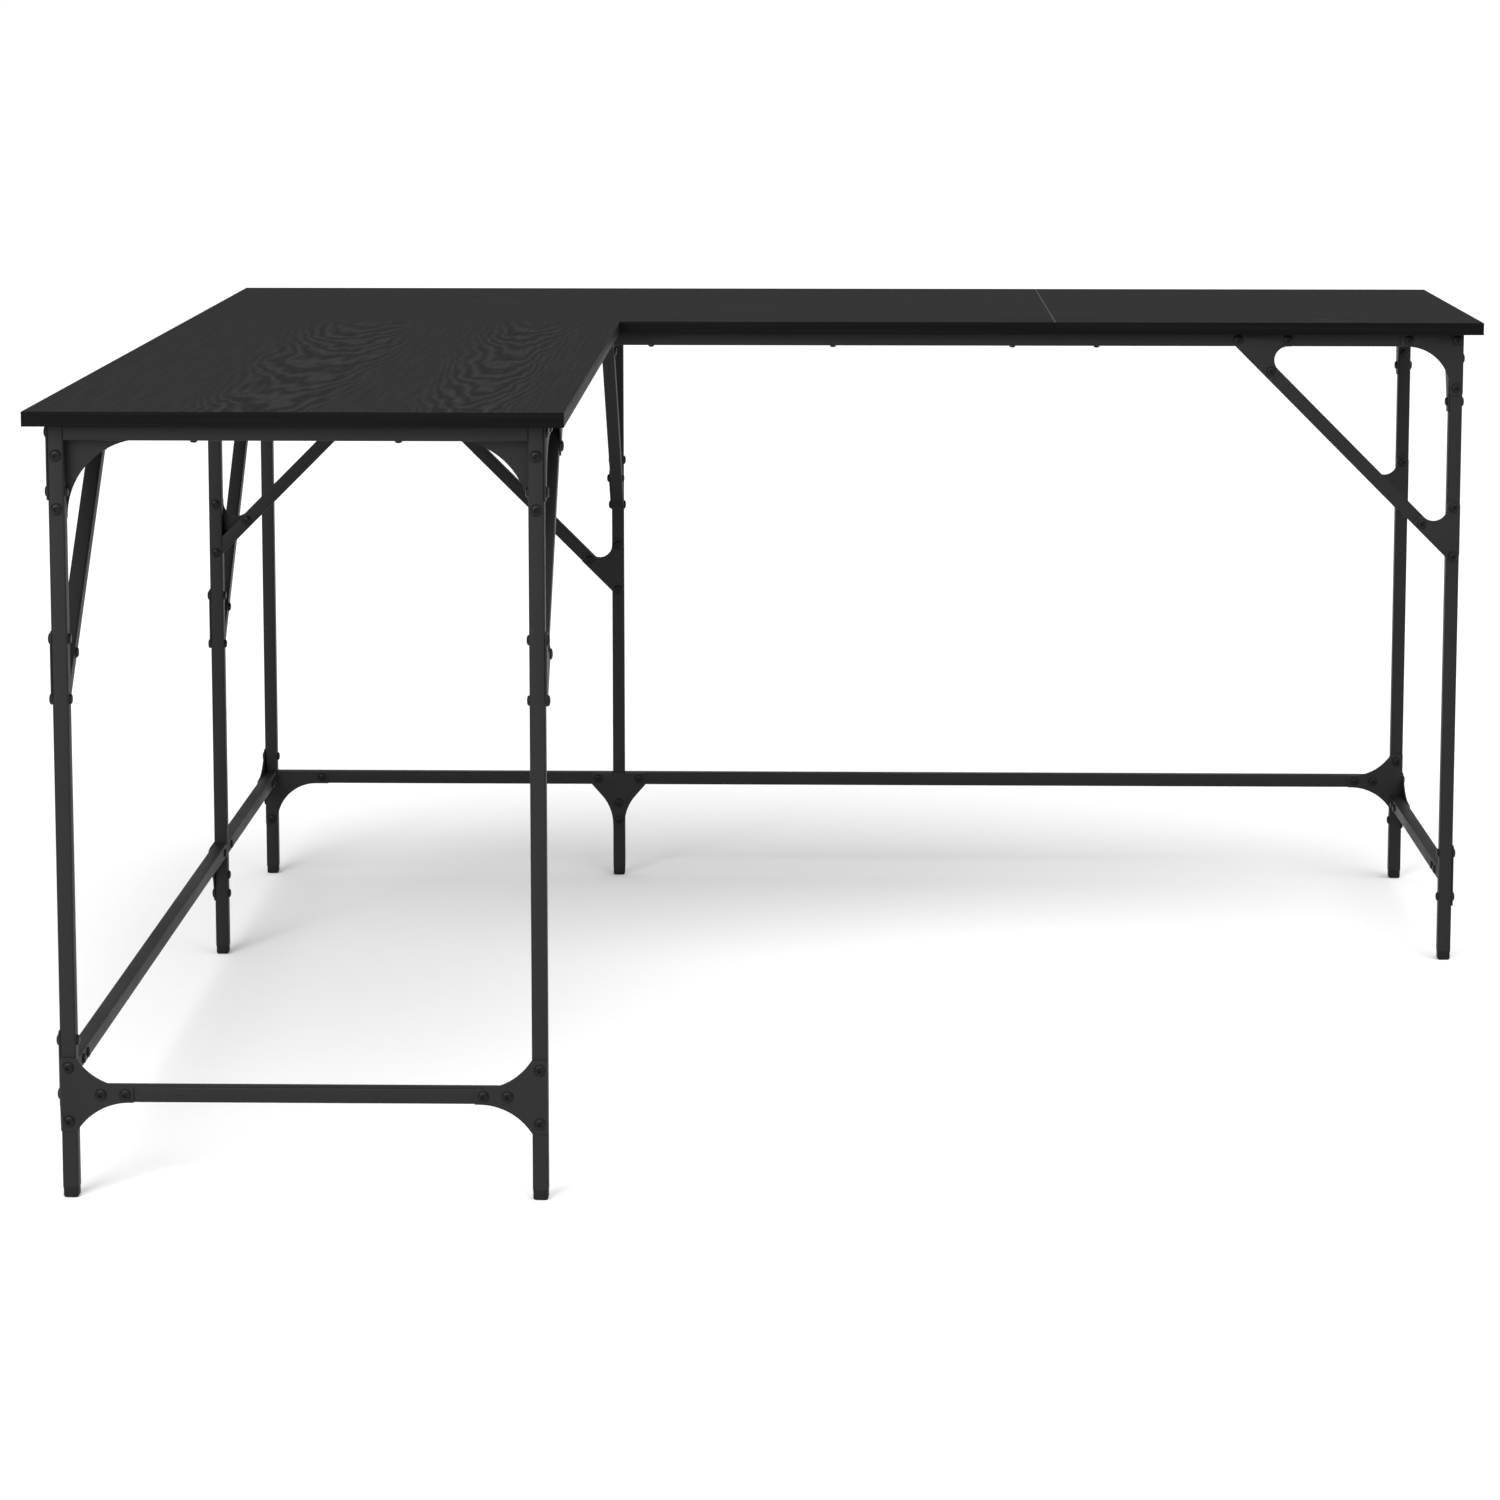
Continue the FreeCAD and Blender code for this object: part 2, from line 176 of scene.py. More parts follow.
def powder_coat(name, base, rough=0.52, specular=0.16, peel=0.35):
    """Black powder coat: fine orange peel, faint speckle, dust-soft patches of sheen."""
    n = Nodes(name)
    patches = n.noise(None, 9.0, 2.0, 0.5)
    speckle = n.noise(None, 900.0, 2.0, 0.6)
    mixed = n.maths("MULTIPLY", (patches, "Fac"), (speckle, "Fac"))
    colour = n.ramp(mixed, "Value", [(0.08, grey(base * 0.86)), (0.5, grey(base * 1.2))])
    n.link(colour, "Color", n.shader, "Base Color")
    gloss = n.spread(patches, "Fac", rough - 0.05, rough + 0.07, 0.3, 0.7)
    n.link(gloss, "Result", n.shader, "Roughness")
    fine = n.noise(None, 1500.0, 2.0, 0.5)
    coarse = n.noise(None, 420.0, 2.0, 0.5)
    under = n.bump(coarse, "Fac", peel * 0.6, 0.0004)
    over = n.bump(fine, "Fac", peel, 0.00015, under)
    n.link(over, "Normal", n.shader, "Normal")
    n.shader.inputs["Specular IOR Level"].default_value = specular
    return n.material


def worn_edge_with_painted_highlight(name, base, rough=0.44):
    """The same coat where it is thin over an edge: a little lighter and shinier, partly as wear and partly
    as a painted highlight along the edge.
    """
    n = Nodes(name)
    wear_and_highlight = n.noise(None, 160.0, 4.0, 0.65)
    # lighter patches over the edge: worn coat and a painted highlight
    colour = n.ramp(wear_and_highlight, "Fac", [(0.38, grey(base)), (0.62, grey(base * 1.25)), (0.8, grey(base * 2.2))])
    n.link(colour, "Color", n.shader, "Base Color")
    gloss = n.spread(wear_and_highlight, "Fac", rough + 0.08, rough - 0.05, 0.3, 0.7)
    n.link(gloss, "Result", n.shader, "Roughness")
    fine = n.noise(None, 1300.0, 2.0, 0.5)
    n.link(n.bump(fine, "Fac", 0.25, 0.00015), "Normal", n.shader, "Normal")
    n.shader.inputs["Specular IOR Level"].default_value = 0.14
    return n.material


# Cathedral figure: rings per squared half width, per metre along the grain, and from noise
ARCH_ACROSS = 3.6
ARCH_ALONG = 10.0
ARCH_DRIFT = 5.5


def wood_laminate(name, along_x, base, columns, strength, fade):
    """Black open-grain board: fine pores along the grain, and columns of cathedral figure.

    columns lists (place across the grain, half width), and fade is where along the grain,
    counted on the first axis of the turned space, the figure comes in.
    """
    n = Nodes(name)
    turn = (0, 0, 0) if along_x else (0, 0, math.radians(90))
    # the grain runs along the first axis of this space
    place = n.scaled((1.0, 1.0, 1.0), turn)
    axes = n.add("ShaderNodeSeparateXYZ")
    n.link(place, "Vector", axes, "Vector")

    def stretched(scale):
        mapping = n.add("ShaderNodeMapping")
        mapping.inputs["Scale"].default_value = scale
        n.link(place, "Vector", mapping, "Vector")
        return mapping

    # distance from the middle of the nearest column of figure, 1 at its edge
    off_centre = None
    for centre, half_width in columns:
        shifted = n.maths("SUBTRACT", (axes, "Y"), centre)
        away = n.maths("ABSOLUTE", (shifted, "Value"), 0.0)
        away = n.maths("DIVIDE", (away, "Value"), half_width)
        if off_centre is None:
            off_centre = away
        else:
            off_centre = n.maths("MINIMUM", (off_centre, "Value"), (away, "Value"))
    drift = n.noise(stretched((4.0, 14.0, 14.0)), 1.0, 3.0, 0.6, 0.3)
    edge_noise = n.noise(stretched((3.0, 24.0, 24.0)), 1.0, 2.0, 0.5)
    ragged = n.maths("MULTIPLY", (edge_noise, "Fac"), 1.1)
    reach = n.maths("ADD", (off_centre, "Value"), (ragged, "Value"))
    inside = n.spread(reach, "Value", 1.0, 0.0, 1.05, 1.85)
    along = n.spread(axes, "X", 0.0, 1.0, fade[0], fade[1])
    mask = n.maths("MULTIPLY", (inside, "Result"), (along, "Result"))
    # nested arches: rings across the column, drawn out along it and disturbed
    squared = n.maths("POWER", (off_centre, "Value"), 2.0)
    arches = n.maths("MULTIPLY", (squared, "Value"), ARCH_ACROSS)
    run = n.maths("MULTIPLY", (axes, "X"), ARCH_ALONG)
    arches = n.maths("ADD", (arches, "Value"), (run, "Value"))
    wobble = n.maths("MULTIPLY", (drift, "Fac"), ARCH_DRIFT)
    arches = n.maths("ADD", (arches, "Value"), (wobble, "Value"))
    turns = n.maths("MULTIPLY", (arches, "Value"), 2 * math.pi)
    wave = n.maths("SINE", (turns, "Value"), 0.0)
    figure = n.maths("MULTIPLY", (wave, "Value"), (mask, "Value"))
    figure = n.maths("MULTIPLY", (figure, "Value"), strength)
    # straight fibres and pores
    fibres = n.noise(stretched((6.0, 260.0, 260.0)), 1.0, 3.0, 0.6)
    pores = n.noise(stretched((26.0, 900.0, 900.0)), 1.0, 2.0, 0.5)
    pits = n.spread(pores, "Fac", 1.0, 0.0, 0.36, 0.46)
    tone = n.maths("ADD", (figure, "Value"), 0.5)
    fibre_tone = n.spread(fibres, "Fac", -0.16, 0.16, 0.3, 0.7)
    tone = n.maths("ADD", (tone, "Value"), (fibre_tone, "Result"))
    dark = n.maths("MULTIPLY", (pits, "Result"), 0.12)
    tone = n.maths("SUBTRACT", (tone, "Value"), (dark, "Value"))
    colour = n.ramp(tone, "Value", [(0.0, grey(base * 0.62)), (0.5, grey(base)), (1.0, grey(base * 1.62))])
    n.link(colour, "Color", n.shader, "Base Color")
    gloss = n.spread(tone, "Value", 0.88, 0.72, 0.0, 1.0)
    n.link(gloss, "Result", n.shader, "Roughness")
    under = n.bump(tone, "Value", 0.16, 0.0004)
    over = n.bump(pits, "Result", -0.25, 0.00012, under)
    n.link(over, "Normal", n.shader, "Normal")
    n.shader.inputs["Specular IOR Level"].default_value = 0.04
    return n.material


def edge_band(name, along, base):
    """Thin edge strip with long streaks that run along it."""
    n = Nodes(name)
    scale = [160.0, 160.0, 900.0]
    scale["xy".index(along)] = 5.0
    fine = n.scaled(tuple(scale))
    streaks = n.noise(fine, 1.0, 3.0, 0.6)
    wide = n.scaled((2.2 if along == "x" else 40.0, 2.2 if along == "y" else 40.0, 170.0))
    cloud = n.noise(wide, 1.0, 3.0, 0.5, 0.4)
    both = n.maths("MULTIPLY", (streaks, "Fac"), (cloud, "Fac"))
    colour = n.ramp(both, "Value", [(0.13, grey(base * 0.5)), (0.27, grey(base)), (0.42, grey(base * 2.2))])
    n.link(colour, "Color", n.shader, "Base Color")
    gloss = n.spread(both, "Value", 0.62, 0.46, 0.1, 0.45)
    n.link(gloss, "Result", n.shader, "Roughness")
    n.link(n.bump(both, "Value", 0.25, 0.0003), "Normal", n.shader, "Normal")
    n.shader.inputs["Specular IOR Level"].default_value = 0.06
    return n.material


def plain_plastic(name, base):
    """Moulded foot plastic with a spark-eroded grain and scuffs near the floor."""
    n = Nodes(name)
    grain = n.noise(None, 1100.0, 2.0, 0.6)
    scuffs = n.noise(n.scaled((60, 60, 500)), 1.0, 4.0, 0.6)
    colour = n.ramp(scuffs, "Fac", [(0.35, grey(base)), (0.7, grey(base * 1.5))])
    n.link(colour, "Color", n.shader, "Base Color")
    gloss = n.spread(grain, "Fac", 0.48, 0.62, 0.3, 0.7)
    n.link(gloss, "Result", n.shader, "Roughness")
    n.link(n.bump(grain, "Fac", 0.3, 0.0002), "Normal", n.shader, "Normal")
    n.shader.inputs["Specular IOR Level"].default_value = 0.15
    return n.material


def black_oxide(name, base):
    """Blackened fastener steel: smooth, with a brushed hint of metal."""
    n = Nodes(name)
    turned = n.noise(n.scaled((300, 300, 300)), 1.0, 4.0, 0.6)
    colour = n.ramp(turned, "Fac", [(0.35, grey(base)), (0.7, grey(base * 1.9))])
    n.link(colour, "Color", n.shader, "Base Color")
    gloss = n.spread(turned, "Fac", 0.3, 0.44, 0.3, 0.7)
    n.link(gloss, "Result", n.shader, "Roughness")
    n.link(n.bump(turned, "Fac", 0.12, 0.0002), "Normal", n.shader, "Normal")
    n.shader.inputs["Specular IOR Level"].default_value = 0.14
    return n.material


def beech(name):
    """Plain pale wood of the dowels."""
    n = Nodes(name)
    grain = n.noise(n.scaled((60, 60, 900)), 1.0, 4.0, 0.6)
    colour = n.ramp(grain, "Fac", [(0.3, (0.50, 0.33, 0.18)), (0.7, (0.68, 0.50, 0.31))])
    n.link(colour, "Color", n.shader, "Base Color")
    gloss = n.spread(grain, "Fac", 0.6, 0.75)
    n.link(gloss, "Result", n.shader, "Roughness")
    n.link(n.bump(grain, "Fac", 0.3, 0.0003), "Normal", n.shader, "Normal")
    return n.material


def pale_floor(name):
    n = Nodes(name)
    cloud = n.noise(None, 40.0, 2.0, 0.5)
    colour = n.ramp(cloud, "Fac", [(0.3, grey(0.945)), (0.7, grey(0.955))])
    n.link(colour, "Color", n.shader, "Base Color")
    n.shader.inputs["Roughness"].default_value = 0.9
    n.shader.inputs["Specular IOR Level"].default_value = 0.1
    return n.material


# How light each black is, as reflectance
TOP_BASE = 0.0162
BAND_BASE = 0.0018
TUBE_BASE = 0.0098
BOLT_BASE = 0.0032
FOOT_BASE = 0.0045

MAT = {
    "top_left": wood_laminate("black_board_left", False, TOP_BASE, [(-0.53, 0.068), (-0.34, 0.052)],
                              0.32, (-0.33, -0.12)),
    "top_back": wood_laminate("black_board_back", True, TOP_BASE, [(0.60, 0.05), (0.34, 0.04)],
                              0.12, (-0.60, 0.60)),
    "top_right": wood_laminate("black_board_right", True, TOP_BASE, [(0.285, 0.05)],
                               0.20, (0.28, 0.50)),
    "band_x": edge_band("edge_strip_across", "x", BAND_BASE),
    "band_y": edge_band("edge_strip_deep", "y", BAND_BASE * 1.3),
    # the seam's strips are coloured far lighter than the other edge strips: a painted highlight along the
    # seam
    "band_seam_highlight": edge_band("edge_strip_seam_highlight", "y", TOP_BASE * 2.6),
    "tube": powder_coat("powder_coat_tube", TUBE_BASE),
    "plate": powder_coat("powder_coat_plate", TUBE_BASE * 1.05, rough=0.5, peel=0.3),
    # edge coat: lighter over rounded edges, partly wear and partly a painted highlight
    "rim": worn_edge_with_painted_highlight("coat_edge_wear_and_highlight", TUBE_BASE * 0.8),
    "bolt": black_oxide("black_bolt", BOLT_BASE),
    "foot": plain_plastic("foot_plastic", FOOT_BASE),
    "wood": beech("plain_beech"),
    "floor": pale_floor("studio_floor"),
}


# ---------------------------------------------------------------- mesh helpers

def finish_piece(name, bm, materials, replaced, smooth_angle=35.0):
    """Turn a bmesh in millimetres into a piece of the desk."""
    bmesh.ops.recalc_face_normals(bm, faces=bm.faces)
    bm.transform(Matrix.Scale(MM, 4))
    mesh = bpy.data.meshes.new(name)
    bm.to_mesh(mesh)
    bm.free()
    mesh.shade_smooth()
    mesh.set_sharp_from_angle(angle=math.radians(smooth_angle))
    piece = bpy.data.objects.new(name, mesh)
    for material in materials:
        mesh.materials.append(MAT[material])
    bpy.context.scene.collection.objects.link(piece)
    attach(piece, BODY)
    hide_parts(*replaced)


def bevel_edges(bm, edges, width, segments=2, rim=None):
    """Round edges; the new faces take material number rim when it is given."""
    made = bmesh.ops.bevel(bm, geom=list(edges), offset=width, offset_type="OFFSET", segments=segments,
                           profile=0.5, affect="EDGES", clamp_overlap=True)
    if rim is not None:
        for face in made["faces"]:
            face.material_index = rim


def box_mesh(bm, low, high):
    """Plain box between two corners."""
    corners = [bm.verts.new((x, y, z)) for x in (low[0], high[0]) for y in (low[1], high[1])
               for z in (low[2], high[2])]
    for index in ((0, 1, 3, 2), (4, 6, 7, 5), (0, 4, 5, 1), (2, 3, 7, 6), (0, 2, 6, 4), (1, 5, 7, 3)):
        bm.faces.new([corners[i] for i in index])


def square_ring(half, corner, steps=4):
    """Corners of a rounded square in the XY plane, in order."""
    points = []
    for quarter in range(4):
        cx = (half - corner) * (1 if quarter in (0, 3) else -1)
        cy = (half - corner) * (1 if quarter in (0, 1) else -1)
        for step in range(steps + 1):
            angle = math.radians(90 * quarter + 90 * step / steps)
            points.append((cx + corner * math.cos(angle), cy + corner * math.sin(angle)))
    return points


def loft(bm, rings, materials=None):
    """Closed skin through rings of equal count; materials gives a number for each side face."""
    loops = [[bm.verts.new(p) for p in ring] for ring in rings]
    count = len(loops[0])
    for lower, upper in zip(loops, loops[1:]):
        for i in range(count):
            j = (i + 1) % count
            face = bm.faces.new((lower[i], lower[j], upper[j], upper[i]))
            if materials:
                face.material_index = materials[i]
    bm.faces.new(list(reversed(loops[0])))
    bm.faces.new(loops[-1])


PROFILE = square_ring(T2, TUBE_ROUND)
# the rounded corner faces of every tube take the lighter edge coat: a painted highlight along the edges as
# well as wear
CORNER_FACES = [1 if i % 5 != 4 else 0 for i in range(len(PROFILE))]


def straight_tube(bm, start, end):
    """Square tube between two points in millimetres, along X, Y or Z."""
    run = Vector(end) - Vector(start)
    turn = run.to_track_quat("Z", "Y").to_matrix()
    if abs(run.z) < 0.5 * run.length:
        side = Vector((0, 0, 1))
        across = run.normalized().cross(side)
        turn = Matrix((across, side, -run.normalized())).transposed()
    rings = []
    for point in (start, end):
        rings.append([Vector(point) + turn @ Vector((x, y, 0)) for x, y in PROFILE])
    loft(bm, rings, materials=CORNER_FACES)


def at_leg(points, leg, heading):
    """Points drawn on a leg's axis, +X pointing away from it, set onto that leg."""
    _, x, y = LEGS[leg]
    turn = Matrix.Rotation(math.radians(heading), 3, "Z")
    return [turn @ Vector(p) + Vector((x, y, 0)) for p in points]


def mitred_brace(bm, reach, leg, heading):
    """45-degree tube from the leg's face up to the underside of the rail."""
    middle = (reach - T2 * math.sqrt(2)) / 2
    along = Vector((1, 0, 1)).normalized()
    over = Vector((1, 0, -1)).normalized()
    centre = Vector((T2 + middle, 0, RAIL_Z - middle))
    low, high = [], []
    for a, b in PROFILE:
        p = centre + over * a + Vector((0, b, 0))
        low.append(p + along * ((T2 - p.x) / along.x))
        high.append(p + along * ((RAIL_Z - p.z) / along.z))
    loft(bm, [at_leg(low, leg, heading), at_leg(high, leg, heading)], materials=CORNER_FACES)


def rounded_outline(points):
    """(x, z, corner radius) points to a list of (x, z) with the corners rounded."""
    path = []
    count = len(points)
    for i in range(count):
        x, z, r = points[i]
        here = Vector((x, z))
        before = (Vector(points[i - 1][:2]) - here).normalized()
        after = (Vector(points[(i + 1) % count][:2]) - here).normalized()
        if r <= 0:
            path.append(here)
            continue
        half = before.angle(after) / 2
        reach = r / math.tan(half)
        centre = here + (before + after).normalized() * (r / math.sin(half))
        first = here + before * reach - centre
        last = here + after * reach - centre
        sweep = first.angle_signed(last)
        steps = max(3, round(abs(sweep) * r / 2.2), round(abs(math.degrees(sweep)) / 18))
        for step in range(steps + 1):
            turn = Matrix.Rotation(-sweep * step / steps, 2)
            path.append(centre + turn @ first)
    return path


def flat_plate(bm, path, y0, y1):
    """Sheet of an (x, z) outline between two depths, its rims softened."""
    loft(bm, [[(p.x, y, p.y) for p in path] for y in (y0, y1)])
    edges = [e for e in bm.edges if all(abs(v.co.y - y0) < SAME for v in e.verts)
             or all(abs(v.co.y - y1) < SAME for v in e.verts)]
    # the softened rims take the lighter edge coat: wear and a painted highlight
    bevel_edges(bm, edges, PLATE_RIM, 2, rim=1)


def leg_plate(bm, outline, side, leg, heading):
    """Flat plate on the +Y (side 1) or -Y (side -1) face of a leg's tubes."""
    part = bmesh.new()
    low, high = sorted((side * T2, side * (T2 + PLATE)))
    flat_plate(part, outline, low, high)
    for vert, place in zip(part.verts, at_leg([v.co for v in part.verts], leg, heading)):
        vert.co = place
    join(bm, part)


def join(bm, part):
    """Move a finished part into bm."""
    temp = bpy.data.meshes.new("part")
    part.to_mesh(temp)
    part.free()
    bm.from_mesh(temp)
    bpy.data.meshes.remove(temp)


# ---------------------------------------------------------------- outlines

CORNER_RADIUS = 50.0
END_RADIUS = 73.0
TAIL_RUN = 50.0
TAIL_FLARE = 28.0
GUSSET_ON_RAIL = 66.0
GUSSET_ON_BRACE = 49.0


def fan_outline():
    """Upper corner plate: over the rail's end and the leg's top, with a round inner corner."""
    radius = CORNER_RADIUS
    end = T2 + radius + 7
    low = RAIL_Z - radius - 6
    return rounded_outline([(-T2, UNDER_TOP, 2), (end, UNDER_TOP, 4), (end, RAIL_Z, 2),
                            (T2, RAIL_Z, radius), (T2, low, 2), (-T2, low, 2)])


def end_fan_outline():
    """Larger upper plate of an arm's end, cut away for the rail that meets the leg's face."""
    radius = END_RADIUS
    end = T2 + radius + 3
    low = RAIL_Z - radius - 2.5
    return rounded_outline([(T2, UNDER_TOP, 0), (end, UNDER_TOP, 2), (end, RAIL_Z, 1),
                            (T2, RAIL_Z, radius), (T2, low, 2), (-T2, low, 2),
                            (-T2, RAIL_Z, 0), (T2, RAIL_Z, 0)])


def gusset_outlines(reach):
    """Upper plate on the rail and lower plate on the leg; the lower is the upper turned over.

    Points are (distance from the leg, distance below the rail, corner radius).
    """
    slant = math.sqrt(2)
    bar_in = reach - TUBE * slant
    run = reach - TUBE * slant / 2 - GUSSET_ON_BRACE * slant
    start, end = reach - GUSSET_ON_RAIL, reach + 4
    points = [(start, -TUBE, 5), (end, -TUBE, 8), (end, -4, 5),
              ((reach + run) / 2, (reach - run) / 2, 3), ((bar_in + run) / 2, (bar_in - run) / 2, 3),
              (bar_in, 0, 15.5), (start, 0, 4)]
    upper = rounded_outline([(T2 + u, RAIL_Z - v, r) for u, v, r in points])
    lower = rounded_outline([(T2 + v, RAIL_Z - u, r) for u, v, r in points])
    return upper, lower


def tail_half(middle, place, sign, start_at_tip):
    """One arc of a fish-tail plate: from the bar's edge out to the leg's face, or back."""
    run = TAIL_RUN
    radius = (run * run + TAIL_FLARE * TAIL_FLARE) / (2 * TAIL_FLARE)
    points = []
    for k in range(15):
        u = run * k / 14
        rise = radius - math.sqrt(radius * radius - u * u)
        points.append((run - u, T2 + rise))
    points = [Vector((place(T2 + u), middle + sign * up)) for u, up in points]
    tip = Vector((place(T2 + run + 4), middle + sign * T2))
    whole = [tip] + points
    return whole if start_at_tip else list(reversed(whole))


def tail_outline(middle, stop=None):
    """Flat fish-tail plate that ends at the leg's far edge.

    With stop its part over the leg ends at that height, on top of a bar that meets the leg.
    """
    def as_is(x):
        return x

    path = tail_half(middle, as_is, 1, True)
    tall = path[-1].y - middle
    path.append(Vector((-T2, middle + tall)))
    if stop is None:
        path.append(Vector((-T2, middle - tall)))
    else:
        path += [Vector((-T2, stop)), Vector((T2, stop))]
    return path + tail_half(middle, as_is, -1, False)


def tee_outline():
    """T plate: a straight top on the low bar and two arcs that run down onto the leg."""
    reach, throat, foot = 34.0, 88.0, 64.0
    top = SIDE_BAR_Z + TUBE
    return rounded_outline([(-reach, top, 1), (reach, top, 1), (reach, SIDE_BAR_Z, 2),
                            (T2, throat, 56), (T2, foot, 2), (-T2, foot, 2),
                            (-T2, throat, 56), (-reach, SIDE_BAR_Z, 2)])


def corner_outline():
    """Front plate of the corner leg: on the back bar, cut away for the end of the left bar."""
    radius = CORNER_RADIUS
    end = T2 + radius + 16
    low = SIDE_BAR_Z - radius - 4
    return rounded_outline([(T2, SIDE_BAR_Z + TUBE, 0), (end, SIDE_BAR_Z + TUBE, 1),
                            (end, SIDE_BAR_Z, 1), (T2, SIDE_BAR_Z, radius),
                            (T2, low, 2), (-T2, low, 2), (-T2, SIDE_BAR_Z, 0), (T2, SIDE_BAR_Z, 0)])


BEND_R = TUBE_ROUND
HALF_BEND = BEND_R * math.pi / 4


def unrolled(x):
    """Distance from the middle of the bend, along the plate, of a point at x beside the leg."""
    return x + T2 - BEND_R + HALF_BEND


def bent_outline(first_middle, second):
    """Unrolled outline of a corner bracket: a tail to the right, the second wing to the left."""
    right = tail_half(first_middle, unrolled, -1, False)
    right_up = tail_half(first_middle, unrolled, 1, True)
    tall = right_up[-1].y - first_middle
    above = [Vector((0, first_middle + tall))]
    below = [Vector((0, first_middle - tall))]
    return right + right_up + above + second + below


def left_tail(middle):
    """The second wing of the unrolled bracket, to the left of the bend."""
    def mirrored(x):
        return -unrolled(x)

    up = tail_half(middle, mirrored, 1, False)
    down = tail_half(middle, mirrored, -1, True)
    tall = up[0].y - middle
    return [Vector((0, middle + tall))] + up + down + [Vector((0, middle - tall))]


def bent_bracket(bm, path, place):
    """Fold an unrolled outline round a leg's outer corner; place sets (x, y) onto the leg."""
    clean = []
    for p in path:
        if not clean or (p - clean[-1]).length > SAME * 100:
            clean.append(p)
    part = bmesh.new()
    flat_plate(part, clean, 0.0, PLATE)
    for k in range(-4, 5):
        s = HALF_BEND * k / 4
        bmesh.ops.bisect_plane(part, geom=part.verts[:] + part.edges[:] + part.faces[:], dist=1e-5,
                               plane_co=(s, 0, 0), plane_no=(1, 0, 0))
    middle = -T2 + BEND_R
    for vert in part.verts:
        s, n, z = vert.co
        if s > HALF_BEND:
            x, y = middle + s - HALF_BEND, -T2 - n
        elif s < -HALF_BEND:
            x, y = -T2 - n, middle - s - HALF_BEND
        else:
            angle = math.radians(225 + 45 * s / HALF_BEND)
            x = middle + (BEND_R + n) * math.cos(angle)
            y = middle + (BEND_R + n) * math.sin(angle)
        vert.co = (*place(x, y), z)
    join(bm, part)


# ---------------------------------------------------------------- frame

def make_tubes():
    for node, x, y in LEGS.values():
        low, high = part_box(node)
        bm = bmesh.new()
        straight_tube(bm, (x, y, low.z / MM), (x, y, high.z / MM))
        finish_piece("tube_" + node, bm, ["tube", "rim"], [node])
    level = [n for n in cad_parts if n.startswith(("rail_", "bar_"))]
    for node in sorted(level):
        low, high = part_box(node)
        centre = (low + high) / 2 / MM
        reach = (high - low) / 2 / MM
        start, end = centre.copy(), centre.copy()
        axis = 0 if reach.x > reach.y else 1
        start[axis] -= reach[axis]
        end[axis] += reach[axis]
        bm = bmesh.new()
        straight_tube(bm, start, end)
        finish_piece("tube_" + node, bm, ["tube", "rim"], [node])


# Leg, heading of the rail from it, and side of the plates
BRACES = {
    "front_left": ("a", 90, 1),
    "front_inner": ("b", 90, -1),
    "left_middle": ("c", 0, 1),
    "back_middle": ("e", -90, -1),
    "back_right": ("f", 180, 1),
    "right_front": ("g", 180, 1),
    "large_left": ("c", 90, 1),
    "large_back": ("e", 180, 1),
}


def make_braces():
    for name, (leg, heading, side) in BRACES.items():
        low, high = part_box("brace_" + name)
        reach = (high.z - low.z) / MM
        bm = bmesh.new()
        mitred_brace(bm, reach, leg, heading)
        finish_piece("tube_brace_" + name, bm, ["tube", "rim"], ["brace_" + name])
        bm = bmesh.new()
        for outline in gusset_outlines(reach):
            leg_plate(bm, outline, side, leg, heading)
        finish_piece("plates_" + name, bm, ["plate", "rim"], ["gussets_" + name])


def make_plates(node, places):
    """One piece of flat plates; places lists (outline, side, leg, heading) as leg_plate takes them."""
    bm = bmesh.new()
    for place in places:
        leg_plate(bm, *place)
    finish_piece("plate_" + node, bm, ["plate", "rim"], [node])


def make_bent_bracket():
    """The front left leg's lower bracket, its wings on the two outer faces."""
    _, leg_x, leg_y = LEGS["a"]
    bm = bmesh.new()
    wings = bent_outline(END_BAR_MID, left_tail(SIDE_BAR_MID))
    bent_bracket(bm, wings, lambda x, y: (leg_x + x, leg_y + y))
    finish_piece("plate_bracket_front_left", bm, ["plate", "rim"], ["bracket_front_left"])


def make_corner_plates():
    corner, end = fan_outline(), end_fan_outline()
    tail, tee = tail_outline(END_BAR_MID), tee_outline()
    make_plates("fan_front_left", [(corner, 1, "a", 90)])
    make_plates("fan_front_inner", [(corner, -1, "b", 90)])
    make_plates("fans_corner", [(corner, -1, "d", -90), (corner, 1, "d", 0)])
    make_plates("fan_back_right", [(corner, -1, "f", 180)])
    make_plates("fan_right_front", [(corner, 1, "g", 180)])
    make_plates("fans_front_end", [(end, 1, "a", 0), (end, -1, "b", 180)])
    make_plates("fans_right_end", [(end, -1, "f", -90), (end, 1, "g", 90)])
    make_plates("bracket_front_inner", [(tail, 1, "b", 180)])
    make_plates("bracket_right_front", [(tail, -1, "g", 90)])
    make_plates("bracket_left_middle", [(tee, 1, "c", 90)])
    make_plates("bracket_back_middle", [(tee, 1, "e", 180)])
    make_bent_bracket()
    make_plates("bracket_back_right", [(tail, 1, "f", -90),
                                       (tail_outline(SIDE_BAR_MID, END_BAR_MID + T2), 1, "f", 180)])
    make_plates("bracket_corner", [(tail_outline(SIDE_BAR_MID), -1, "d", -90),
                                   (corner_outline(), -1, "d", 0)])


# ---------------------------------------------------------------- fasteners

# Points of a CAD mesh, in metres, closer than this are one point
WELD = 1e-6


